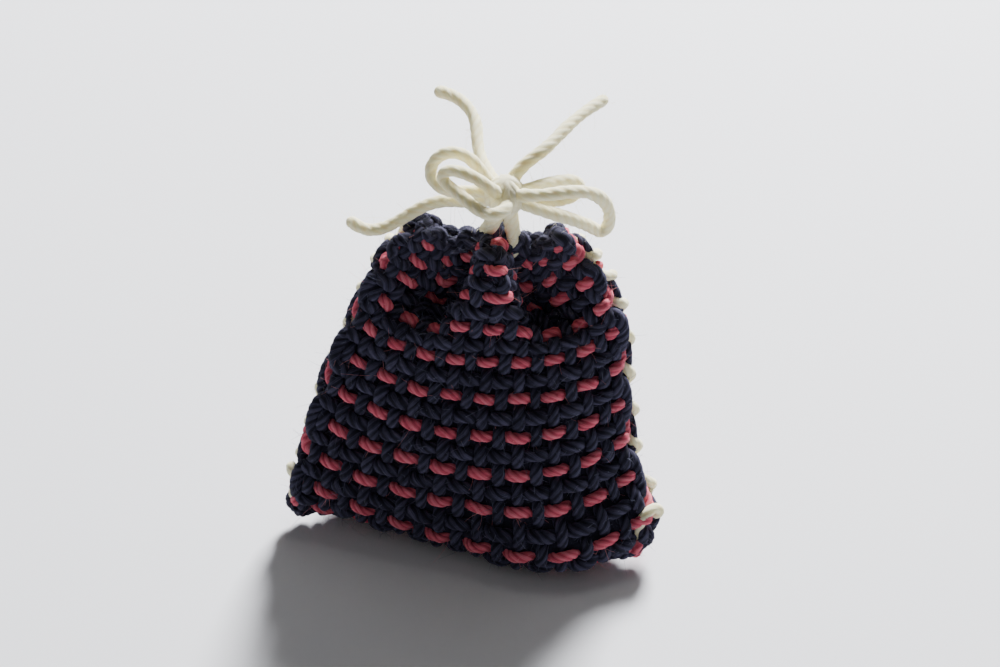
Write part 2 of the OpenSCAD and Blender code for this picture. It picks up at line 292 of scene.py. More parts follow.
# %% The eight cords
bow_pieces = {}
for name, (route, body, length, far_end) in CORDS.items():
    path = relaxed(smooth_route(cord_points(route, far_end == "knot"), CORD_STEP), EASE_PASSES)
    width = CORD_DIAMETER / 2 * (1 + wander(len(path), *CORD_UNEVEN))
    piece = yarn_object(f"{name}_yarn", [plied_tube(path, width)])
    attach(piece, body)
    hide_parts(name)
    bow_pieces[name] = (piece, body)
    print(f"{name}: {lengths_along(path)[-1] / MM:.1f} mm long")

# %% [markdown]
# ## The knot
# A bow's knot is a few short wraps of the same yarn, pulled tight into a ball. A smooth ball would
# be wrong, so one yarn is wound round a small core, and each turn lies in a plane of its own.

# %% The knot's wraps
KNOT_TURNS = 6
POINTS_A_TURN = 60
# The wraps' plane tilts in two waves, and swings round: sizes in radians
SLOW_TILT = 0.55
SLOW_RATE = 2.0
QUICK_TILT = 0.35
QUICK_RATE = 0.37
SWING = 0.5
core_radius = knot_radius - CORD_DIAMETER / 2


def knot_path():
    """A yarn that is wound round the core, its plane turning a little at each wrap."""
    u = np.linspace(0, 2 * np.pi * KNOT_TURNS, POINTS_A_TURN * KNOT_TURNS)
    tilt = SLOW_TILT * np.sin(u / KNOT_TURNS * SLOW_RATE) + QUICK_TILT * np.sin(u * QUICK_RATE)
    swing = u / KNOT_TURNS * SWING
    ring = np.stack([np.sin(tilt) * np.cos(u), np.cos(u) * np.cos(tilt), np.sin(u)], axis=1)
    turned = np.stack([ring[:, 0] * np.cos(swing) - ring[:, 1] * np.sin(swing),
                       ring[:, 0] * np.sin(swing) + ring[:, 1] * np.cos(swing), ring[:, 2]], axis=1)
    return knot_middle + turned * core_radius


path = evenly(knot_path(), CORD_STEP)[0]
knot = yarn_object("bow_knot_wraps", [plied_tube(path, CORD_DIAMETER / 2)])
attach(knot, "bag")
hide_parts("bow_knot")

# %% [markdown]
# ## The cloth's form
# The weave is laid on a surface like that of the design's two panels: four guide lines run up the
# cloth, and a panel is an arc between them, with two pleats that are drawn in at the mouth. Here
# the front pleats go deeper, and the fold between them bends back under the knot. A place on the
# cloth has three numbers: across, from -1 at the left side to 1 at the right; up, in mm of cloth
# from the fold, below 0 on the front half and above 0 on the back half; and out.

# %% The guide lines
STATIONS = np.array([0, 6, 11, 18, 32, 47, 54, 61, 72, 82], float)
FRONT_GUIDE = [[0, -12.5, 2], [0, -18.5, 2.9], [0, -20.5, 5.8], [0, -17.6, 12.6], [0, -11.4, 24.8],
    [0.5, -3.7, 37.4], [1.2, -1.4, 43.8], [1.8, -0.2, 50.2], [2, 2, 58.6], [2, 5.6, 64.5]]
BACK_GUIDE = [[0, -12.5, 2], [0, -6, 2], [0, -1, 2], [0, 6, 2], [0, 17, 8],
    [0.5, 20.7, 22.5], [1.2, 20.7, 29.4], [1.8, 20, 36.5], [2.4, 17.8, 47.5], [2.4, 15.3, 56]]
LEFT_GUIDE = [[-35, -13.7, 3.5], [-34.6, -13, 7.5], [-33.6, -11.7, 11.5], [-32.4, -9.2, 16.8],
    [-28.6, -3.2, 29.2], [-23.4, 3.3, 41.5], [-21, 5.6, 46.6], [-18.6, 7.3, 51], [-14.5, 9.3, 56],
    [-11, 9.8, 58.5]]
RIGHT_GUIDE = [[31.5, -18, 3.4], [34.2, -14.5, 6.4], [34.4, -11.4, 9.4], [30.6, -7, 15],
    [27.8, -1, 28], [26, 4.3, 42], [23.7, 6, 47], [21, 7.3, 51.5], [16.2, 9.3, 56], [13.5, 9.8, 58.5]]
STAND_BACK = np.array([0, 1.2, 0])
PANEL_ARC = [40, 44, 50, 56, 62, 72, 78, 84, 90, 90]
PLEAT_SHARE = [0, 0, 0, 0, 0, 0, 0.12, 0.92, 1, 0.95]
DROP_SHARE = [0, 0, 0, 0, 0, 0.05, 0.4, 1, 0.9, 0.6]
BASE_SKEW = [3, 5, 4.5, 2.5, 1, 0, 0, 0, 0, 0]
LEFT_SKEW = 0.4
PLEAT_GATHER = 0.42
PLEAT_DRAW = {-1: 0.92, 1: 0.22}
PLEAT_DROP = {-1: 10.5, 1: 5}
# Where the fold between a panel's two pleats narrows, and how far its sides move in
NARROW_FROM = 54
NARROW_AT = 74
PLEAT_FOOT = 0.40
FOOT_MOVE = 0.42
PLEAT_TOP = 0.92
TOP_MOVE = 0.30
# Where the front panel's fold bends back and sinks, in mm
FOLD_FROM = 69
FOLD_BACK = 5.5
FOLD_SINK = 6
FOLD_EDGE = 0.5
FOLD_FULL = 0.7
CLOTH_LENGTH = STATIONS[-1]
print(f"each half of the cloth is {CLOTH_LENGTH:.0f} mm long from the fold to the mouth")


def along(values, v):
    """The smooth curve through one value, or one point, at each station."""
    values = np.asarray(values, float)
    values = values[:, None] if values.ndim == 1 else values
    last = len(STATIONS) - 1
    below, above = np.maximum(np.arange(last + 1) - 1, 0), np.minimum(np.arange(last + 1) + 1, last)
    slope = (values[above] - values[below]) / (STATIONS[above] - STATIONS[below])[:, None]
    i = np.clip(np.searchsorted(STATIONS, v, side="right") - 1, 0, last - 1)
    span = (STATIONS[i + 1] - STATIONS[i])[:, None]
    s = (v - STATIONS[i])[:, None] / span
    made = ((2 * s ** 3 - 3 * s ** 2 + 1) * values[i] + (s ** 3 - 2 * s ** 2 + s) * span * slope[i]
            + (3 * s ** 2 - 2 * s ** 3) * values[i + 1] + (s ** 3 - s ** 2) * span * slope[i + 1])
    return made if made.shape[1] > 1 else made[:, 0]


# %% From a place on the cloth to a point
SEAM_HALF = 1.3
SEAM_FROM = 0.82
SEAM_GROWS = 7
# Places closer to the fold than this have a normal that points straight down
AT_FOLD = 0.001
LAST_PLACE = CLOTH_LENGTH - 0.001
# Steps for measuring the cloth's slope, as a share across and in mm up
STEP_ACROSS = 0.01
STEP_UP = 0.6


def eased(x, low, high):
    s = np.clip((x - low) / (high - low), 0, 1)
    return s * s * (3 - 2 * s)


def middle_out(guide, side, v):
    """The way out of the cloth at the middle of a panel."""
    step = along(guide, np.minimum(v + 1, CLOTH_LENGTH)) - along(guide, np.maximum(v - 1, 0))
    out = unit(np.stack([0 * v, side * step[:, 2], -side * step[:, 1]], axis=1))
    return np.where(v[:, None] < AT_FOLD, [0, 0, -1.0], out)


def panel_point(guide, side, t, v):
    """A point in the middle of one panel's thickness, side -1 in front and 1 at the back, in mm."""
    arc = np.radians(along(PANEL_ARC, v))
    a = np.abs(t) * arc
    mid = along(guide, v) + STAND_BACK
    edge = np.where(t[:, None] < 0, along(LEFT_GUIDE, v), along(RIGHT_GUIDE, v)) + STAND_BACK
    # The two halves lie against each other at the seam, one on each side of its line
    seam = SEAM_HALF * eased(np.abs(t), SEAM_FROM, 1) * eased(v, 0, SEAM_GROWS)
    edge = edge + seam[:, None] * middle_out(guide, side, v)
    axis = (along(FRONT_GUIDE, v) + along(BACK_GUIDE, v)) / 2 + STAND_BACK
    across = np.sin(a) / np.sin(arc)
    deep = (1 - np.cos(a)) / (1 - np.cos(arc))
    skew = along(BASE_SKEW, v) * np.sin(np.pi * t) * np.where(t < 0, LEFT_SKEW, 1)
    # A pleat's sides are steep, and the fold between a panel's two narrows towards the mouth
    narrow = eased(v, NARROW_FROM, NARROW_AT)
    profile = eased(np.abs(np.sin(np.pi * t)), PLEAT_FOOT - FOOT_MOVE * narrow,
                    PLEAT_TOP - TOP_MOVE * narrow)
    pleat = profile * along(PLEAT_SHARE, v)
    drop = profile * PLEAT_DROP[side] * along(DROP_SHARE, v)
    x = mid[:, 0] + (edge[:, 0] - mid[:, 0]) * across - axis[:, 0]
    y = mid[:, 1] + (edge[:, 1] - mid[:, 1]) * deep - skew - axis[:, 1]
    z = mid[:, 2] + (edge[:, 2] - mid[:, 2]) * deep - drop
    y = y * (1 - pleat * PLEAT_DRAW[side])
    if side < 0:
        # The fold in the middle bends back under the knot
        fold = (1 - profile) * eased(1 - np.abs(t), FOLD_EDGE, FOLD_FULL)
        y += FOLD_BACK * fold * eased(v, FOLD_FROM, CLOTH_LENGTH)
        z -= FOLD_SINK * fold * eased(v, FOLD_FROM, CLOTH_LENGTH)
    return np.stack([axis[:, 0] + x * (1 - pleat * PLEAT_GATHER), axis[:, 1] + y, z], axis=1)


def middle_point(t, s):
    v = np.clip(np.abs(s), 0, LAST_PLACE)
    return np.where(s[:, None] < 0, panel_point(FRONT_GUIDE, -1, t, v), panel_point(BACK_GUIDE, 1, t, v))


def cloth_normal(t, s):
    """The way out of the cloth, square to it."""
    right = (middle_point(np.minimum(t + STEP_ACROSS, 1), s)
             - middle_point(np.maximum(t - STEP_ACROSS, -1), s))
    up = (middle_point(t, np.minimum(s + STEP_UP, LAST_PLACE))
          - middle_point(t, np.maximum(s - STEP_UP, -LAST_PLACE)))
    return -unit(np.cross(right, up))


def cloth_point(t, s, e):
    """Points of the strip, e mm out from the middle of its thickness, in mm."""
    t, s, e = (np.asarray(x, float) for x in (t, s, e))
    return middle_point(t, s) + e[:, None] * cloth_normal(t, s)


# %% Evenly spread places across the cloth
# The cloth's width doesn't change where it is pleated, so the yarns keep their spacing along the
# pleat's sides. A table of the length across, one row for each mm of cloth, gives t from a share.
FINE_T = np.linspace(0, 1, 121)
TABLE_S = np.arange(-CLOTH_LENGTH, CLOTH_LENGTH + 1)


def share_table(hand):
    rows = []
    for s in TABLE_S:
        run = lengths_along(middle_point(hand * FINE_T, np.full(len(FINE_T), s)))
        rows.append(np.interp(FINE_T, run / run[-1], FINE_T))
    return np.array(rows)


SHARES = {-1: share_table(-1), 1: share_table(1)}


def spread(q, s):
    """The t that lies at the share q of the cloth's length across, -1 to 1, at the place s."""
    made = np.zeros(len(q))
    at = np.clip(s - TABLE_S[0], 0, len(TABLE_S) - 1.001)
    row, part = at.astype(int), at % 1
    column = np.clip(np.abs(q), 0, 1) * (len(FINE_T) - 1.001)
    left, beside = column.astype(int), column % 1
    for hand in (-1, 1):
        table = SHARES[hand]
        low = table[row, left] * (1 - beside) + table[row, left + 1] * beside
        high = table[row + 1, left] * (1 - beside) + table[row + 1, left + 1] * beside
        made = np.where(np.sign(q) == hand, hand * (low * (1 - part) + high * part), made)
    return made


HALF_CLOTH = 2.0
test_t = np.linspace(-1, 1, 81)
test_out = np.full(len(test_t), HALF_CLOTH)
for node, side in (("front_panel", -1), ("back_panel", 1)):
    rows = [cloth_point(test_t, np.full(len(test_t), side * v), test_out)
            for v in range(0, int(CLOTH_LENGTH), 2)]
    low, high = np.vstack(rows).min(0), np.vstack(rows).max(0)
    cad = [round(x / MM, 1) for x in (*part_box(node)[0], *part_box(node)[1])]
    print(node, "design box in mm", cad, "here", low.round(1), high.round(1))

# %% [markdown]
# ## The weave
# In plain weave each yarn goes over one and under the next. The warp is one navy yarn that runs
# the whole strip, turns at the mouth and comes back beside itself. The weft takes turns: a navy
# row, then a coral row. So coral crosses over every second warp yarn, always the same ones, and
# the outside shows a grid of coral dashes in line. At a side the weft turns round to its next row
# of the same colour, and there the two colours' turns lie over each other.

# %% Sizes of the weave, in mm
WARP_COUNT = 18
WARP_EDGE = 0.935
WARP_STEP = 2 * WARP_EDGE / (WARP_COUNT - 1)
WEFT_PITCH = 3.6
WEFT_ROWS = 22
WEFT_EDGE = 0.96
WEFT_TURN = 0.04
# How far a yarn's middle lies from the cloth's as it goes over or under, and how flat its tops are
LIFT = 0.92
CRIMP_SQUARE = 0.13
WARP_RADIUS = 1.2
WEFT_RADIUS = {"navy_weft": 1.4, "coral_weft": 1.1}
FLATTEN = 0.84
UNDER_SPREAD = 0.3
NAVY_GROOVE = 0.11
RING_STEP = 0.4
FLOOR_CLEAR = 1.08
# How often a yarn changes, for each of its points, and by how much
WARP_SWAY = (0.05, 0.0055)
WARP_RISE = (0.05, 0.08)
WARP_UNEVEN = (0.05, 0.07)
WEFT_SWAY = (0.06, 0.16)
WEFT_RISE = (0.05, 0.1)
WEFT_UNEVEN = (0.04, 0.08)
print(f"{WARP_COUNT} runs of warp and {2 * WEFT_ROWS + 1} rows of weft")


def pressed(radius, e):
    """A yarn's radius, broader where it lies under another and is pressed flat."""
    return radius * (1 + UNDER_SPREAD * np.clip(-e / LIFT, 0, 1))


def crimp(phase):
    """The height of a yarn as it goes over and under, with a flat top and steep sides."""
    return LIFT * (np.cos(phase) - CRIMP_SQUARE * np.cos(3 * phase)) / (1 - CRIMP_SQUARE)


def woven_tube(t, s, e, radius, groove):
    """A tube along places on the cloth: its section is turned to the cloth, and it stays above
    what the pouch stands on."""
    t = spread(t, s)
    radius = pressed(radius, e)
    path = cloth_point(t, s, e)
    outside = cloth_normal(t, s)
    path[:, 2] = np.maximum(path[:, 2], FLOOR_CLEAR)
    spaced = evenly(path, RING_STEP, *outside.T, radius)
    path, normals, radius = spaced[0], np.stack(spaced[1:4], axis=1), spaced[4]
    return plied_tube(path * MM, radius * MM, normals, FLATTEN, groove, PLY_PITCH)


# %% The warp
WARP_SHORT = 1.6
WARP_POINTS = 900
WARP_TURN = 1.5
WARP_TURN_OUT = 0.4


def warp_places():
    """The warp yarn's whole way, from one run to the next, as places on the cloth."""
    t_all, s_all, e_all = [], [], []
    reach = CLOTH_LENGTH - WARP_SHORT
    turn = np.linspace(0, np.pi, 14)[1:-1]
    for j in range(WARP_COUNT):
        t = -WARP_EDGE + j * WARP_STEP
        s = np.linspace(-reach, reach, WARP_POINTS) * (1 if j % 2 == 0 else -1)
        phase = np.pi * s / WEFT_PITCH
        t_all.append(np.full(len(s), t) + wander(len(s), *WARP_SWAY))
        s_all.append(s)
        e_all.append(-crimp(phase) * (-1) ** j)
        if j < WARP_COUNT - 1:
            t_all.append(t + WARP_STEP * (1 - np.cos(turn)) / 2)
            s_all.append(np.sign(s[-1]) * (reach + WARP_TURN * np.sin(turn)))
            e_all.append(0 * turn + WARP_TURN_OUT)
    return (np.concatenate(x) for x in (t_all, s_all, e_all))


t, s, e = warp_places()
e = e + wander(len(e), *WARP_RISE)
radius = WARP_RADIUS * (1 + wander(len(e), *WARP_UNEVEN))
# A mesh of the whole yarn would be too heavy for one piece, so it is made in two halves
half = len(s) // 2
warps = []
for name, part in (("navy_warp_left", slice(0, half)), ("navy_warp_right", slice(half - 1, None))):
    tube = woven_tube(t[part], s[part], e[part], radius[part], NAVY_GROOVE)
    warps.append(yarn_object(name, [tube]))

# %% The weft, navy and coral
WEFT_POINTS = 500


def weft_places(first_row, turn_out):
    """One colour's whole way: every second row, to and fro, with a turn at each side."""
    t_all, s_all, e_all = [], [], []
    turn = np.linspace(0, np.pi, 20)[1:-1]
    rows = range(first_row, WEFT_ROWS + 1, 2)
    for count, k in enumerate(rows):
        t = np.linspace(-WEFT_EDGE, WEFT_EDGE, WEFT_POINTS) * (1 if count % 2 == 0 else -1)
        phase = np.pi * (t + WARP_EDGE) / WARP_STEP
        t_all.append(t)
        s_all.append(np.full(len(t), k * WEFT_PITCH) + wander(len(t), *WEFT_SWAY))
        e_all.append(crimp(phase) * (-1) ** k)
        if k != rows[-1]:
            t_all.append(np.sign(t[-1]) * (WEFT_EDGE + WEFT_TURN * np.sin(turn)))
            s_all.append((k + 1 - np.cos(turn)) * WEFT_PITCH)
            e_all.append(turn_out * np.sin(turn))
    return (np.concatenate(x) for x in (t_all, s_all, e_all))


# Where the coral yarn is drawn loose and stands out as a thick stitch: the share across, the place
# up, in mm, and how much thicker it is
PLUMP_STITCHES = [(0.66, -3.6, 0.42), (0.87, -3.6, 0.36)]
PLUMP_ACROSS = 0.05
PLUMP_UP = 2


def plumper(q, s):
    made = np.ones(len(q))
    for across, up, more in PLUMP_STITCHES:
        made += more * np.exp(-((q - across) / PLUMP_ACROSS) ** 2 - ((s - up) / PLUMP_UP) ** 2)
    return made


wefts = {}
for name, first_row, turn_out in (("navy_weft", -WEFT_ROWS, 0.5), ("coral_weft", 1 - WEFT_ROWS, -1.3)):
    t, s, e = weft_places(first_row, turn_out)
    e = e + wander(len(e), *WEFT_RISE)
    radius = WEFT_RADIUS[name] * (1 + wander(len(e), *WEFT_UNEVEN))
    if name == "coral_weft":
        radius = radius * plumper(t, s)
    tube = woven_tube(t, s, e, radius, GROOVE if name == "coral_weft" else NAVY_GROOVE)
    wefts[name] = yarn_object(name, [tube])

# %% [markdown]
# A thin dark sheet in the middle of the cloth's thickness fills the holes between the yarns, so that
# no light comes through the cloth: it is painted shade, standing for the shade seen through the holes.
# It is a closed sheet with a little unevenness, and it shows only as a dark ground behind the yarns.

# %% A dark sheet between the yarns, for painted shade in the holes
SHADE_SHEET_ACROSS = 140
SHADE_SHEET_UP = 220
SHADE_SHEET_HALF = 0.25
SHADE_SHEET_EDGE = 0.955
SHADE_SHEET_SHORT = 2.5
SHADE_SHEET_UNEVEN = 0.06
# The sheet's place in the wool's colour ramp, towards the darker groove end: painted shade
SHADE_SHEET_DEPTH = 0.3


def gap_shade_sheet_mesh():
    """A thin closed sheet along the middle of the cloth, from one mouth edge to the other."""
    share = np.linspace(-SHADE_SHEET_EDGE, SHADE_SHEET_EDGE, SHADE_SHEET_ACROSS)
    reach = CLOTH_LENGTH - SHADE_SHEET_SHORT
    q, place = (grid.ravel() for grid in np.meshgrid(share, np.linspace(-reach, reach, SHADE_SHEET_UP)))
    t, uneven = spread(q, place), rng.normal(0, SHADE_SHEET_UNEVEN, len(q))
    points = np.vstack([cloth_point(t, place, out + uneven) for out in (SHADE_SHEET_HALF, -SHADE_SHEET_HALF)])
    points[:, 2] = np.maximum(points[:, 2], FLOOR_CLEAR + np.repeat([-SHADE_SHEET_HALF, SHADE_SHEET_HALF], len(q)))
    cell = (np.arange(SHADE_SHEET_UP - 1)[:, None] * SHADE_SHEET_ACROSS + np.arange(SHADE_SHEET_ACROSS - 1)).ravel()
    outer = np.stack([cell, cell + 1, cell + SHADE_SHEET_ACROSS + 1, cell + SHADE_SHEET_ACROSS], axis=1)
    around = np.concatenate([
        np.arange(SHADE_SHEET_ACROSS), SHADE_SHEET_ACROSS * np.arange(2, SHADE_SHEET_UP + 1) - 1,
        len(q) - 2 - np.arange(SHADE_SHEET_ACROSS - 1), SHADE_SHEET_ACROSS * np.arange(SHADE_SHEET_UP - 2, 0, -1)])
    ahead = np.roll(around, -1)
    rim = np.stack([around, around + len(q), ahead + len(q), ahead], axis=1)
    walls = np.vstack([outer, outer[:, ::-1] + len(q), rim])
    coordinates = np.tile(np.stack([q * 20, place * 0.5, uneven * 10], axis=1), (2, 1))
    return points * MM, walls, [], coordinates, np.full(len(points), SHADE_SHEET_DEPTH)


# The dark sheet that paints the shade in the holes between the yarns
gap_shade_sheet = yarn_object("gap_shade_sheet_piece", [gap_shade_sheet_mesh()])

for piece in (*warps, gap_shade_sheet, *wefts.values()):
    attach(piece, "bag")
    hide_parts("front_panel", "back_panel")

# %% [markdown]
# ## The lacing and the drawstring
# The sides are whip-stitched: the cream yarn goes round both edges, over the outside and back
# through the cloth, once every second row. As a helix round the seam it shows only where the real
# stitch does, and the rest of each turn is inside the cloth. The drawstring's two strands turn
# round the neck through its folds and rise to the knot.

# %% The lacing
LACE_RADIUS = 1.05
LACE_PITCH = 7.2
LACE_START = 1.5
LACE_POINTS = 700
LACE_SWAY = (0.04, 0.12)
LACE_GAP = 0.1
STITCH_OUT = {-1: 0.7, 1: 1.15}
STITCH_WIDE = 1.9
STITCH_BACK = {-1: 3.4, 1: 2.6}
LACE_END = 8


def lace_path(hand):
    v = np.linspace(LACE_START, CLOTH_LENGTH - LACE_END, LACE_POINTS)
    seam = along(LEFT_GUIDE if hand < 0 else RIGHT_GUIDE, v) + STAND_BACK
    forward = middle_out(FRONT_GUIDE, -1, v)
    phase = 2 * np.pi * v / LACE_PITCH
    sway = wander(len(v), *LACE_SWAY)
    reach = STITCH_OUT[hand] * np.cos(phase) + LACE_GAP + sway
    made = seam + np.stack([hand * reach, 0 * v, 0 * v], axis=1)
    return made + (STITCH_WIDE * np.sin(phase) - STITCH_BACK[hand])[:, None] * forward


lacings = []
for node, hand in (("left_lacing", -1), ("right_lacing", 1)):
    path = lace_path(hand)
    path[:, 2] = np.maximum(path[:, 2], LACE_RADIUS + LACE_GAP)
    path = evenly(path, RING_STEP)[0] * MM
    piece = yarn_object(f"{node}_yarn", [plied_tube(path, LACE_RADIUS * MM)])
    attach(piece, "bag")
    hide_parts(node)
    lacings.append(piece)

# %% The drawstring's two strands at the neck
TURN_AT = 73.0
STRAND_GAP = 0.1
NECK_RADIUS = 3.4
STRAND_STEP = 20
# Where a strand leaves the knot, as shares of the knot's radius
STRAND_IN = 0.8
STRAND_OUT = 1.3


def guide_point(guide, v):
    return along(guide, np.array([v]))[0] + STAND_BACK


turn_front, turn_back = guide_point(FRONT_GUIDE, TURN_AT), guide_point(BACK_GUIDE, TURN_AT)
turn_middle = (turn_front + turn_back) / 2
turn_tilt = (turn_front[2] - turn_back[2]) / (turn_back[1] - turn_front[1])


def turn_point(degrees, lift):
    a = math.radians(degrees)
    y = -NECK_RADIUS * math.cos(a)
    return turn_middle + np.array([NECK_RADIUS * math.sin(a), y, lift - turn_tilt * y])


def strand_points(start, lift, top):
    """The strand's points in mm: down from the knot, round the neck and up to the knot again."""
    top = np.array(top) * knot_radius / MM
    side = top * [-1, 1, 1]
    middle = knot_middle / MM
    around = [turn_point(a, lift) for a in range(start, 361 - start, STRAND_STEP)]
    return [middle + STRAND_IN * top, middle + STRAND_OUT * top, *around,
            middle + STRAND_OUT * side, middle + STRAND_IN * side]


half_lift = (CORD_DIAMETER / MM + STRAND_GAP) / 2
STRANDS = {"neck_strand_upper": (100, half_lift, [0.22, 0.3, -0.92]),
           "neck_strand_lower": (80, -half_lift, [0.08, 0.45, -0.88])}
strands = []
for node, (start, lift, top) in STRANDS.items():
    path = smooth_route(np.array(strand_points(start, lift, top)) * MM, CORD_STEP)
    piece = yarn_object(f"{node}_yarn", [plied_tube(path, CORD_DIAMETER / 2)])
    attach(piece, "bag")
    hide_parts(node)
    strands.append(piece)

# %% [markdown]
# ## Loose fibres
# What tells wool from cotton is its halo: short fibres that stand off every yarn and catch the
# light from behind. A hair system would be lost when the meshes are exported, so each fibre is a
# thin three-sided tube, rooted in a yarn's surface and bent by a random amount.

# %% Fibres on a yarn
FIBRE_POINTS = 5
FIBRE_RADIUS = 0.034 * MM
FIBRE_ROOT = 0.8
FIBRE_TAPER = 0.6
OUTWARD_LEAST = -0.1
LEAN_ALONG = 0.9
LEAN_ANY = 0.35
FIBRE_BEND = 0.55
LENGTH_SPREAD = 0.45
LENGTH_LEAST = 0.3
LENGTH_MOST = 3.0
FIBRE_PATTERN = 9


def fibre_object(name, yarns, per_mm, reach, body, slot, outward_from=None):
    """Fibres on the yarns. per_mm is how many stand on a mm of yarn and reach their mean length;
    outward_from is a point that they lean away from, where only the outside shows."""
    roots, ways, heads = [], [], []
    for piece in yarns:
        points = np.empty(len(piece.data.vertices) * 3)
        piece.data.vertices.foreach_get("co", points)
        rings = points.reshape(-1, SIDES, 3)
        middles = rings.mean(axis=1)
        count = int(per_mm * lengths_along(middles)[-1] / MM)
        at, corner = rng.integers(1, len(rings) - 1, count), rng.integers(0, SIDES, count)
        way = unit(rings[at, corner] - middles[at])
        if outward_from is not None:
            out = unit(middles[at] - np.array(outward_from) * MM)
            kept = np.sum(way * out, axis=1) > OUTWARD_LEAST
            at, corner, way = at[kept], corner[kept], way[kept]
        roots.append(middles[at] + FIBRE_ROOT * (rings[at, corner] - middles[at]))
        ways.append(way)
        heads.append(unit(middles[at + 1] - middles[at - 1]))
    root, way, head = np.vstack(roots), np.vstack(ways), np.vstack(heads)
    count = len(root)
    lean = unit(way + head * rng.normal(0, LEAN_ALONG, (count, 1))
                + rng.normal(0, LEAN_ANY, (count, 3)))
    bend = rng.normal(0, FIBRE_BEND, (count, 3))
    length = np.clip(rng.lognormal(0, LENGTH_SPREAD, count), LENGTH_LEAST, LENGTH_MOST) * reach * MM
    u = np.linspace(0, 1, FIBRE_POINTS)[None, :, None]
    path = root[:, None] + length[:, None, None] * (lean[:, None] * u + bend[:, None] * u * u)
    path[..., 2] = np.maximum(path[..., 2], 2 * FIBRE_RADIUS)
    side = unit(np.cross(lean, rng.normal(0, 1, (count, 3))))
    other = np.cross(lean, side)
    thick = FIBRE_RADIUS * (1 - FIBRE_TAPER * u)
    corners = [path + thick * (math.cos(a) * side[:, None] + math.sin(a) * other[:, None])
               for a in (0, 2 * math.pi / 3, 4 * math.pi / 3)]
    points = np.stack(corners, axis=2).reshape(-1, 3)
    start = (np.arange(count) * FIBRE_POINTS * 3)[:, None, None]
    ring = (np.arange(FIBRE_POINTS - 1) * 3)[None, :, None]
    here, there = np.arange(3), np.array([1, 2, 0])
    walls = np.stack([start + ring + here, start + ring + there, start + ring + there + 3,
                      start + ring + here + 3], axis=-1).reshape(-1, 4)
    first = np.arange(count) * FIBRE_POINTS * 3
    last = first + (FIBRE_POINTS - 1) * 3
    caps = np.vstack([np.stack([first + 2, first + 1, first], axis=1),
                      np.stack([last, last + 1, last + 2], axis=1)]).tolist()
    place = np.repeat(rng.uniform(0, FIBRE_PATTERN, (count, 3)), FIBRE_POINTS * 3, axis=0)
    made = yarn_object(name, [(points, walls, caps, place, np.ones(len(points)))])
    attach(made, body)
    return made


BAG_MIDDLE = (0, 6, 25)
# How many fibres stand on a mm of yarn, and their mean length in mm
NAVY_FUZZ = (3.1, 1.1)
CORAL_FUZZ = (2.2, 1.1)
LACING_FUZZ = (1.5, 0.8)
BOW_FUZZ = (4.0, 0.9)
navy_fuzz = [fibre_object(f"{name}_fuzz", yarns, *NAVY_FUZZ, "bag", "woven_cloth", BAG_MIDDLE)
             for name, yarns in (("navy_warp", warps), ("navy_weft", [wefts["navy_weft"]]))]
coral_fuzz = fibre_object("coral_weft_fuzz", [wefts["coral_weft"]], *CORAL_FUZZ, "bag",
                          "woven_cloth", BAG_MIDDLE)
cream_fuzz = [fibre_object("cream_fuzz", [knot, *lacings], *LACING_FUZZ, "bag", "drawstring")]
for name, (piece, body) in bow_pieces.items():
    cream_fuzz.append(fibre_object(f"{name}_fuzz", [piece], *BOW_FUZZ, body, "drawstring"))

# %% [markdown]
# ## Wool as a material
# Wool is matt, and its colour is never even: each ply is a mix of lighter and darker fibres. The
# pattern is held in the yarn's own coordinates, so that it follows the twist. The small class
# below wraps one socket of a node, and arithmetic on it adds the nodes.

# %% Shader arithmetic
class Wire:
    """One output of a node. + - * on it add Math nodes, and node() adds any other node."""

    def __init__(self, tree, socket=None):
        self.tree = tree
        self.socket = socket

    def node(self, kind, settings=None, inputs=None, output=0):
        made = self.tree.nodes.new(kind)
        for name, value in (settings or {}).items():
            if name == "stops":
                ramp = made.color_ramp.elements
                while len(ramp) < len(value):
                    ramp.new(0.5)
                for stop, (place, colour) in zip(ramp, value):
                    stop.position = place
                    stop.color = (*colour, 1)
            else:
                setattr(made, name, value)
        for name, value in (inputs or {}).items():
            if isinstance(value, Wire):
                self.tree.links.new(value.socket, made.inputs[name])
            else:
                made.inputs[name].default_value = value
        return Wire(self.tree, made.outputs[output] if made.outputs else None)

    def maths(self, operation, first, second):
        return self.node("ShaderNodeMath", {"operation": operation}, {0: first, 1: second})

    def __add__(self, other):
        return self.maths("ADD", self, other)

    def __radd__(self, other):
        return self.maths("ADD", other, self)

    def __sub__(self, other):
        return self.maths("SUBTRACT", self, other)

    def __rsub__(self, other):
        return self.maths("SUBTRACT", other, self)

    def __mul__(self, other):
        return self.maths("MULTIPLY", self, other)

    def __rmul__(self, other):
        return self.maths("MULTIPLY", other, self)


# %% Wool of any colour
# How much the fibres, the patches and the painted shade in the grooves between plies each say about how
# light a place is
FIBRE_SHARE = 0.62
PATCH_SHARE = 0.3
GROOVE_SHADE_SHARE = 0.22
DEEP_AT = 0.36
MIDDLE_AT = 0.56
LIGHT_AT = 0.78
BUMP_DEPTH = 0.25 * MM


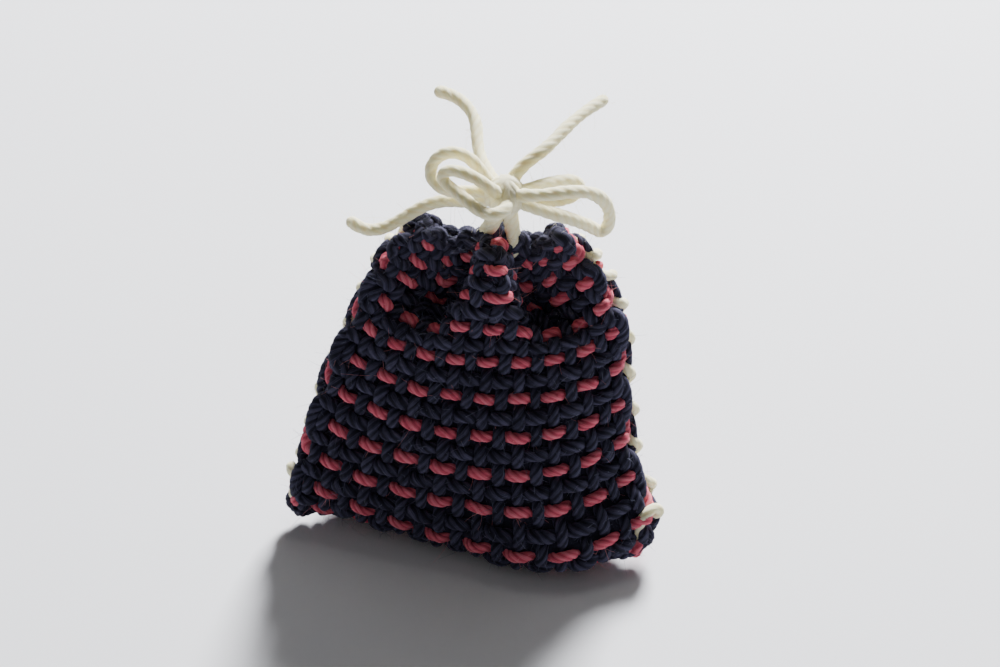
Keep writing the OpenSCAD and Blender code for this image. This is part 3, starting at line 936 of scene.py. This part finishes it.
def wool(name, deep, middle, light, sheen, glow=0.0):
    """A wool of three colours: the darkest, for dark fibres and painted as shade into the grooves
    between plies; the middle, on the plies; and that of its lightest fibres.
    """
    material = bpy.data.materials.new(name)
    material.use_nodes = True
    tree = material.node_tree
    tree.nodes.clear()
    start = Wire(tree)
    place = start.node("ShaderNodeAttribute", {"attribute_name": "yarn_place"}, output="Vector")
    depth = start.node("ShaderNodeAttribute", {"attribute_name": "ply_depth"}, output="Fac")
    streaks = start.node("ShaderNodeMapping", inputs={"Vector": place, "Scale": (5, 5, 1.2)})
    fibres = start.node("ShaderNodeTexNoise", inputs={
        "Vector": streaks, "Scale": 2.2, "Detail": 4.0, "Roughness": 0.6})
    patches = start.node("ShaderNodeTexNoise", inputs={"Vector": place, "Scale": 0.5, "Detail": 2.0})
    # A low ply_depth, in the grooves between plies, darkens the colour: painted shade
    tone = FIBRE_SHARE * fibres + PATCH_SHARE * patches + GROOVE_SHADE_SHARE * depth
    stops = [(DEEP_AT, deep), (MIDDLE_AT, middle), (LIGHT_AT, light)]
    colour = start.node("ShaderNodeValToRGB", {"stops": stops}, {"Fac": tone})
    bump = start.node("ShaderNodeBump", inputs={
        "Height": fibres, "Strength": 0.55, "Distance": BUMP_DEPTH})
    shader = start.node("ShaderNodeBsdfPrincipled", inputs={
        "Base Color": colour, "Roughness": 0.95 - 0.12 * fibres, "Normal": bump,
        "Specular IOR Level": 0.25, "Sheen Weight": sheen, "Sheen Roughness": 0.5,
        "Sheen Tint": (*light, 1), "Subsurface Weight": glow,
        "Subsurface Scale": 1.2 * MM, "Subsurface Radius": (1.0, 0.92, 0.75)})
    start.node("ShaderNodeOutputMaterial", inputs={"Surface": shader})
    return material


NAVY_WOOL = wool("navy_wool", (0.003, 0.003, 0.007), (0.011, 0.011, 0.025), (0.085, 0.083, 0.145),
                 0.45)
CORAL_WOOL = wool("coral_wool", (0.30, 0.030, 0.060), (0.62, 0.085, 0.135), (0.85, 0.24, 0.30), 0.45)
# The loose fibres' wools are lighter copies of their yarn's: a painted highlight for the light the
# fibres catch
NAVY_FIBRE_HIGHLIT = wool("navy_fibre_highlight", (0.03, 0.035, 0.06), (0.09, 0.10, 0.16), (0.22, 0.24, 0.33), 0.5)
CORAL_FIBRE_HIGHLIT = wool("coral_fibre_highlight", (0.6, 0.12, 0.15), (0.8, 0.25, 0.28), (0.9, 0.45, 0.45), 0.5)
CREAM_WOOL = wool("cream_wool", (0.85, 0.75, 0.42), (0.95, 0.88, 0.56), (0.99, 0.95, 0.70), 0.3, 0.3)

for piece in (*warps, gap_shade_sheet, wefts["navy_weft"]):
    piece.data.materials.append(NAVY_WOOL)
for piece in navy_fuzz:
    piece.data.materials.append(NAVY_FIBRE_HIGHLIT)
wefts["coral_weft"].data.materials.append(CORAL_WOOL)
coral_fuzz.data.materials.append(CORAL_FIBRE_HIGHLIT)
for piece in (knot, *cream_fuzz, *[made[0] for made in bow_pieces.values()], *lacings, *strands):
    piece.data.materials.append(CREAM_WOOL)
print("finishes:", [made.name for made in (NAVY_WOOL, CORAL_WOOL, NAVY_FIBRE_HIGHLIT, CORAL_FIBRE_HIGHLIT, CREAM_WOOL)])

# %% [markdown]
# ## Floor and light
# A pale floor under the pouch, one large soft light behind it as from a window, and weak light
# from all round, so that the shadow falls towards the viewer.

# %% Floor
FLOOR_HALF = 3.0
floor_mesh = bpy.data.meshes.new("floor")
floor_mesh.from_pydata([(-FLOOR_HALF, -FLOOR_HALF, 0), (FLOOR_HALF, -FLOOR_HALF, 0),
                        (FLOOR_HALF, FLOOR_HALF, 0), (-FLOOR_HALF, FLOOR_HALF, 0)], [], [(0, 1, 2, 3)])
floor = bpy.data.objects.new("floor", floor_mesh)
bpy.context.scene.collection.objects.link(floor)
floor_paint = bpy.data.materials.new("floor_paint")
floor_paint.use_nodes = True
floor_shader = floor_paint.node_tree.nodes["Principled BSDF"]
floor_shader.inputs["Base Color"].default_value = (0.80, 0.81, 0.84, 1)
floor_shader.inputs["Roughness"].default_value = 0.75
floor_mesh.materials.append(floor_paint)
print("floor:", 2 * FLOOR_HALF, "m across")


# %% Lights
def soft_light(name, azimuth, elevation, distance, size, power, colour):
    """A square area light that faces the pouch. Azimuth 0 is in front and 90 on the right."""
    data = bpy.data.lights.new(name, "AREA")
    data.size = size
    data.energy = power
    data.color = colour
    light = bpy.data.objects.new(name, data)
    bpy.context.scene.collection.objects.link(light)
    a, up = math.radians(azimuth), math.radians(elevation)
    away = Vector((math.sin(a) * math.cos(up), -math.cos(a) * math.cos(up), math.sin(up)))
    light.location = LOOK_AT + away * distance
    light.rotation_mode = "QUATERNION"
    light.rotation_quaternion = away.to_track_quat("Z", "Y")
    print(f"{name}: {power} W, {size} m across")


soft_light("window", 168, 34, 1.2, 0.28, 71, (0.98, 0.98, 1.0))
soft_light("window_top", 172, 62, 1.2, 0.45, 1.5, (0.98, 0.98, 1.0))
soft_light("front_fill", 10, 60, 1.4, 1.2, 0.35, (0.96, 0.96, 1.0))
world = bpy.data.worlds.new("room")
bpy.context.scene.world = world
world.use_nodes = True
world.node_tree.nodes["Background"].inputs["Color"].default_value = (0.96, 0.95, 0.96, 1)
world.node_tree.nodes["Background"].inputs["Strength"].default_value = 0.12
